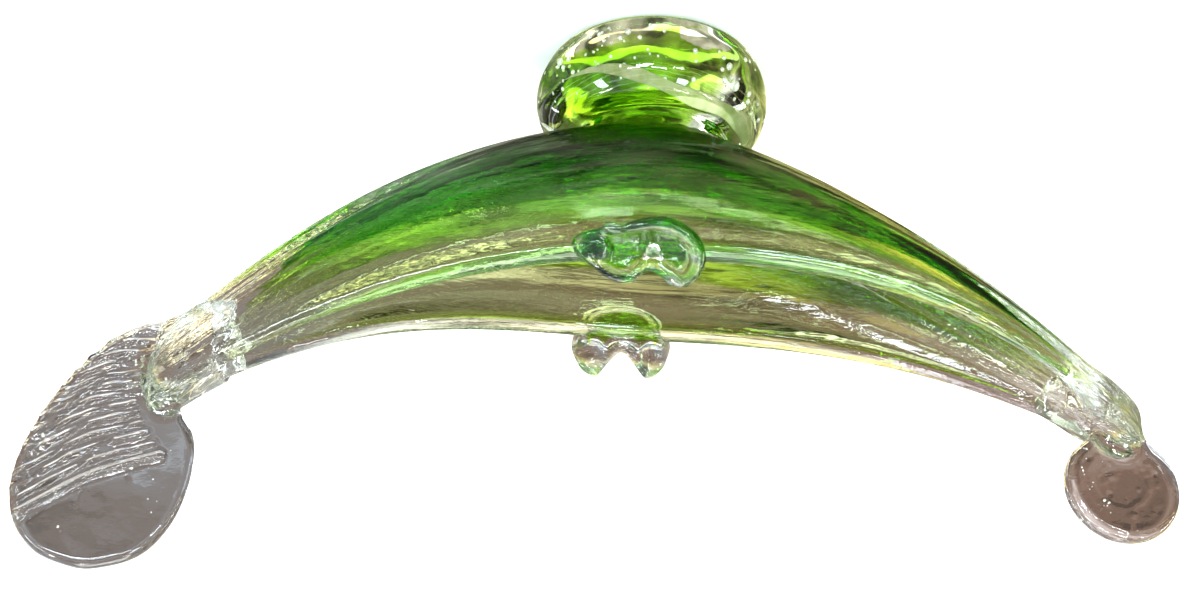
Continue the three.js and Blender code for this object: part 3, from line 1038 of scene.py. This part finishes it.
def rear_curl():
    """The rear curl is smaller, with a thick lobe on each side of a round notch and a spur below."""
    w, h = 17.5, 14.0
    curl = Curl(1, [
        (0, 0.30 * h), (-0.30 * w, 0.62 * h), (-0.52 * w, 0.93 * h), (-0.82 * w, 0.72 * h), (-w, 0.02 * h),
        (-0.72 * w, -0.70 * h), (0, -h), (0.62 * w, -0.78 * h), (w, -0.10 * h), (0.80 * w, 0.66 * h),
        (0.50 * w, 0.95 * h), (0.28 * w, 0.66 * h),
    ], shift=6, outset=-0.9, lift=1, lean=15, dish=5.0, bend=rear_bend)
    spur = curve_through([(-12.5, -2, 0), (-10.5, -5.2, -5), (-9.0, -6.6, -9)], 8)

    def lip_of(across, up):
        return np.clip(2.1 + 0.06 * up, 1.6, 2.9)

    def margin_of(across):
        return 5.0

    def glass_of(points):
        local = curl.local(points)
        body = curl.glass_field(points, lip_of, 1.1)
        body = fused(body, ball(local, np.array([10.5, 1.0, 6.0]), np.array([4.6, 4.0, 5.0])), 1.6)
        body = fused(body, ball(local, np.array([-10.5, 1.0, 6.0]), np.array([4.8, 4.0, 5.4])), 1.6)
        return fused(body, tube(local, spur, np.linspace(1.5, 0.9, len(spur))), 1.5)

    def green_of(points):
        return curl.green_field(points, 0.3, margin_of)

    curl_pieces("curl_rear", "rear_lip_curl", glass_of, green_of)


front_curl()
rear_curl()


# ---- Stage, light and camera -------------------------------------------------------------------------


def paper_floor():
    """Pale paper to the camera. To light that comes off the glass or through it, it is a brown and
    grey table with a mottled cloth under the bowl, tan to the left and grey to the right."""
    reach = 9.0
    mesh = bpy.data.meshes.new("floor")
    mesh.from_pydata([(-reach, -reach, 0), (reach, -reach, 0), (reach, reach, 0), (-reach, reach, 0)],
                     [], [(0, 1, 2, 3)])
    made = bpy.data.objects.new("floor", mesh)
    bpy.context.scene.collection.objects.link(made)
    made.location.z = -0.0002
    material, tree, shader, _ = new_material("floor_paper")
    shader.inputs["Roughness"].default_value = 0.9
    shader.inputs["Specular IOR Level"].default_value = 0.1
    place = add_node(tree, "ShaderNodeTexCoord").outputs["Object"]
    split = add_node(tree, "ShaderNodeSeparateXYZ", Vector=place)
    aside = remap(tree, split.outputs["X"], -0.12, 0.16, 0.0, 1.0)
    board = ramp(tree, noise(tree, place, 2.4, 4, 0.6), (0.38, (0.025, 0.018, 0.014)),
                 (0.47, (0.095, 0.066, 0.054)), (0.56, (0.115, 0.094, 0.088)), (0.66, (0.34, 0.33, 0.35)))
    warmth = ramp(tree, aside, (0.0, (1.0, 0.87, 0.77)), (1.0, (0.80, 0.93, 1.0)))
    table = vector_math(tree, "MULTIPLY", board, warmth)
    cloth_tone = ramp(tree, aside, (0.0, (0.62, 0.50, 0.16)), (1.0, (0.36, 0.40, 0.42)))
    weave = add_node(tree, "ShaderNodeMapping", Vector=place, Scale=(9, 22, 1)).outputs["Vector"]
    shade = remap(tree, noise(tree, weave, 1.6, 3), 0.38, 0.66, 0.08, 1.5)
    cloth = vector_math(tree, "SCALE", cloth_tone, Scale=shade)
    near = remap(tree, vector_math(tree, "LENGTH", place), 0.12, 0.21, 1.0, 0.0)
    room_side = mixed(tree, near, table, cloth)
    direct = add_node(tree, "ShaderNodeLightPath").outputs["Is Camera Ray"]
    seen = mixed(tree, direct, room_side, (0.9, 0.9, 0.9, 1))
    tree.links.new(seen, shader.inputs["Base Color"])
    mesh.materials.append(material)


def softbox(name, location, target, width, height, power, colour):
    """A rectangular lamp that looks at a place; lengths in metres."""
    data = bpy.data.lights.new(name, "AREA")
    data.shape = "RECTANGLE"
    data.size, data.size_y = width, height
    data.energy = power
    data.color = colour
    made = bpy.data.objects.new(name, data)
    made.location = location
    made.rotation_euler = (Vector(target) - Vector(location)).to_track_quat("-Z", "Y").to_euler()
    bpy.context.scene.collection.objects.link(made)


def world():
    """Pale paper to the camera. To other light it is a room: dim below and bright above, cluttered,
    and with rows of lamps that are warm to the left and cool to the right."""
    made = bpy.data.worlds.new("room")
    bpy.context.scene.world = made
    made.use_nodes = True
    tree = made.node_tree
    tree.nodes.clear()
    output = tree.nodes.new("ShaderNodeOutputWorld")
    direction = add_node(tree, "ShaderNodeTexCoord").outputs["Generated"]
    split = add_node(tree, "ShaderNodeSeparateXYZ", Vector=direction)
    walls = ramp(tree, split.outputs["Z"], (0.0, (0.10, 0.07, 0.055)), (0.12, (0.22, 0.16, 0.13)),
                 (0.40, (0.55, 0.50, 0.44)), (0.85, (0.95, 1.0, 1.08)))
    clutter = remap(tree, noise(tree, direction, 4.5, 3, 0.55), 0.38, 0.66, 0.12, 1.9)
    cluttered = vector_math(tree, "SCALE", walls, Scale=clutter)
    rows = add_node(tree, "ShaderNodeTexWave", {"bands_direction": "Z"}, Vector=direction, Scale=1.9,
                    Distortion=5, Detail=2)
    lamp_light = remap(tree, rows.outputs["Fac"], 0.78, 0.93, 0.0, 2.6)
    aside = remap(tree, split.outputs["X"], -0.45, 0.2, 0.0, 1.0)
    tint = ramp(tree, aside, (0.0, (1.0, 0.84, 0.48)), (1.0, (0.70, 0.84, 1.0)))
    lamps = vector_math(tree, "SCALE", tint, Scale=lamp_light)
    both = vector_math(tree, "ADD", cluttered, lamps)
    room = add_node(tree, "ShaderNodeBackground", Color=both, Strength=1.0)
    paper = add_node(tree, "ShaderNodeBackground", Color=(0.93, 0.93, 0.93, 1), Strength=1.0)
    direct = add_node(tree, "ShaderNodeLightPath").outputs["Is Camera Ray"]
    mix = add_node(tree, "ShaderNodeMixShader", Fac=direct)
    tree.links.new(room.outputs[0], mix.inputs[1])
    tree.links.new(paper.outputs[0], mix.inputs[2])
    tree.links.new(mix.outputs[0], output.inputs["Surface"])


# The camera's place, in degrees and metres, and where it aims beside the middle of the CAD model.
AZIMUTH = 7  # from the front towards the ribbed finial
ELEVATION = 23
DISTANCE = 0.6
LENS = 53.95
AIM_SHIFT = (0.00539, 0.00539, -0.00355)


def camera():
    """The photograph is upside down, so the camera is rolled half a turn."""
    low, high = cad_bounds
    target = Vector((low + high) / 2) + Vector(AIM_SHIFT)
    azimuth, elevation = math.radians(AZIMUTH), math.radians(ELEVATION)
    back = Vector((math.sin(azimuth) * math.cos(elevation), -math.cos(azimuth) * math.cos(elevation),
                   math.sin(elevation)))
    data = bpy.data.cameras.new("camera")
    data.sensor_width = 36
    data.lens = LENS
    made = bpy.data.objects.new("camera", data)
    bpy.context.scene.collection.objects.link(made)
    made.location = target + back * DISTANCE
    made.rotation_mode = "QUATERNION"
    upright = (-back).to_track_quat("-Z", "Y")
    made.rotation_quaternion = upright @ Euler((0, 0, math.pi)).to_quaternion()
    bpy.context.scene.camera = made


def lights():
    """Soft light from above and from windows all round, and narrow lamps that the glass reflects."""
    middle = (0, 0, 0.08)
    softbox("overhead", (0.1, 0.3, 1.7), (0, 0, 0.05), 1.3, 0.9, 24, (1.0, 0.99, 0.97))
    softbox("window", (-0.45, -1.0, 0.95), middle, 0.26, 0.36, 8, (0.75, 0.88, 1.0))
    softbox("window_right", (1.0, -0.5, 0.75), middle, 0.16, 0.5, 6, (0.80, 0.91, 1.0))
    softbox("window_left", (-1.3, 0.1, 0.55), middle, 0.16, 0.5, 4, (0.90, 0.96, 1.0))
    softbox("window_low", (0.55, -1.5, 0.42), middle, 0.34, 0.22, 9, (0.74, 0.86, 1.0))
    for i in range(4):
        softbox(f"panel_{i}", (-1.05 + 0.7 * i, -0.35, 1.45), middle, 0.34, 0.08, 3.5, (1.0, 0.97, 0.9))
    softbox("lamp_warm", (-0.9, 0.9, 0.7), middle, 0.2, 0.07, 0.6, (1.0, 0.90, 0.62))
    softbox("lamp_cool", (1.1, 0.8, 0.45), (0, 0, 0.1), 0.06, 0.5, 2.2, (0.80, 0.90, 1.0))
    strips = ((-0.5, 0.36, 0.35), (0.1, 0.55, 0.45), (0.4, 0.30, 0.30), (0.9, 0.62, 0.4))
    for i, (x, z, width) in enumerate(strips):
        softbox(f"strip_{i}", (x, -1.6, z), (0, 0, 0.1), width, 0.08, 5, (0.82, 0.91, 1.0))


paper_floor()
world()
lights()
camera()

scene = bpy.context.scene
scene.view_settings.view_transform = "Standard"
# Light goes through many walls of glass before it reaches the camera.
scene.cycles.max_bounces = 32
scene.cycles.transmission_bounces = 28
scene.cycles.glossy_bounces = 8
scene.cycles.diffuse_bounces = 3
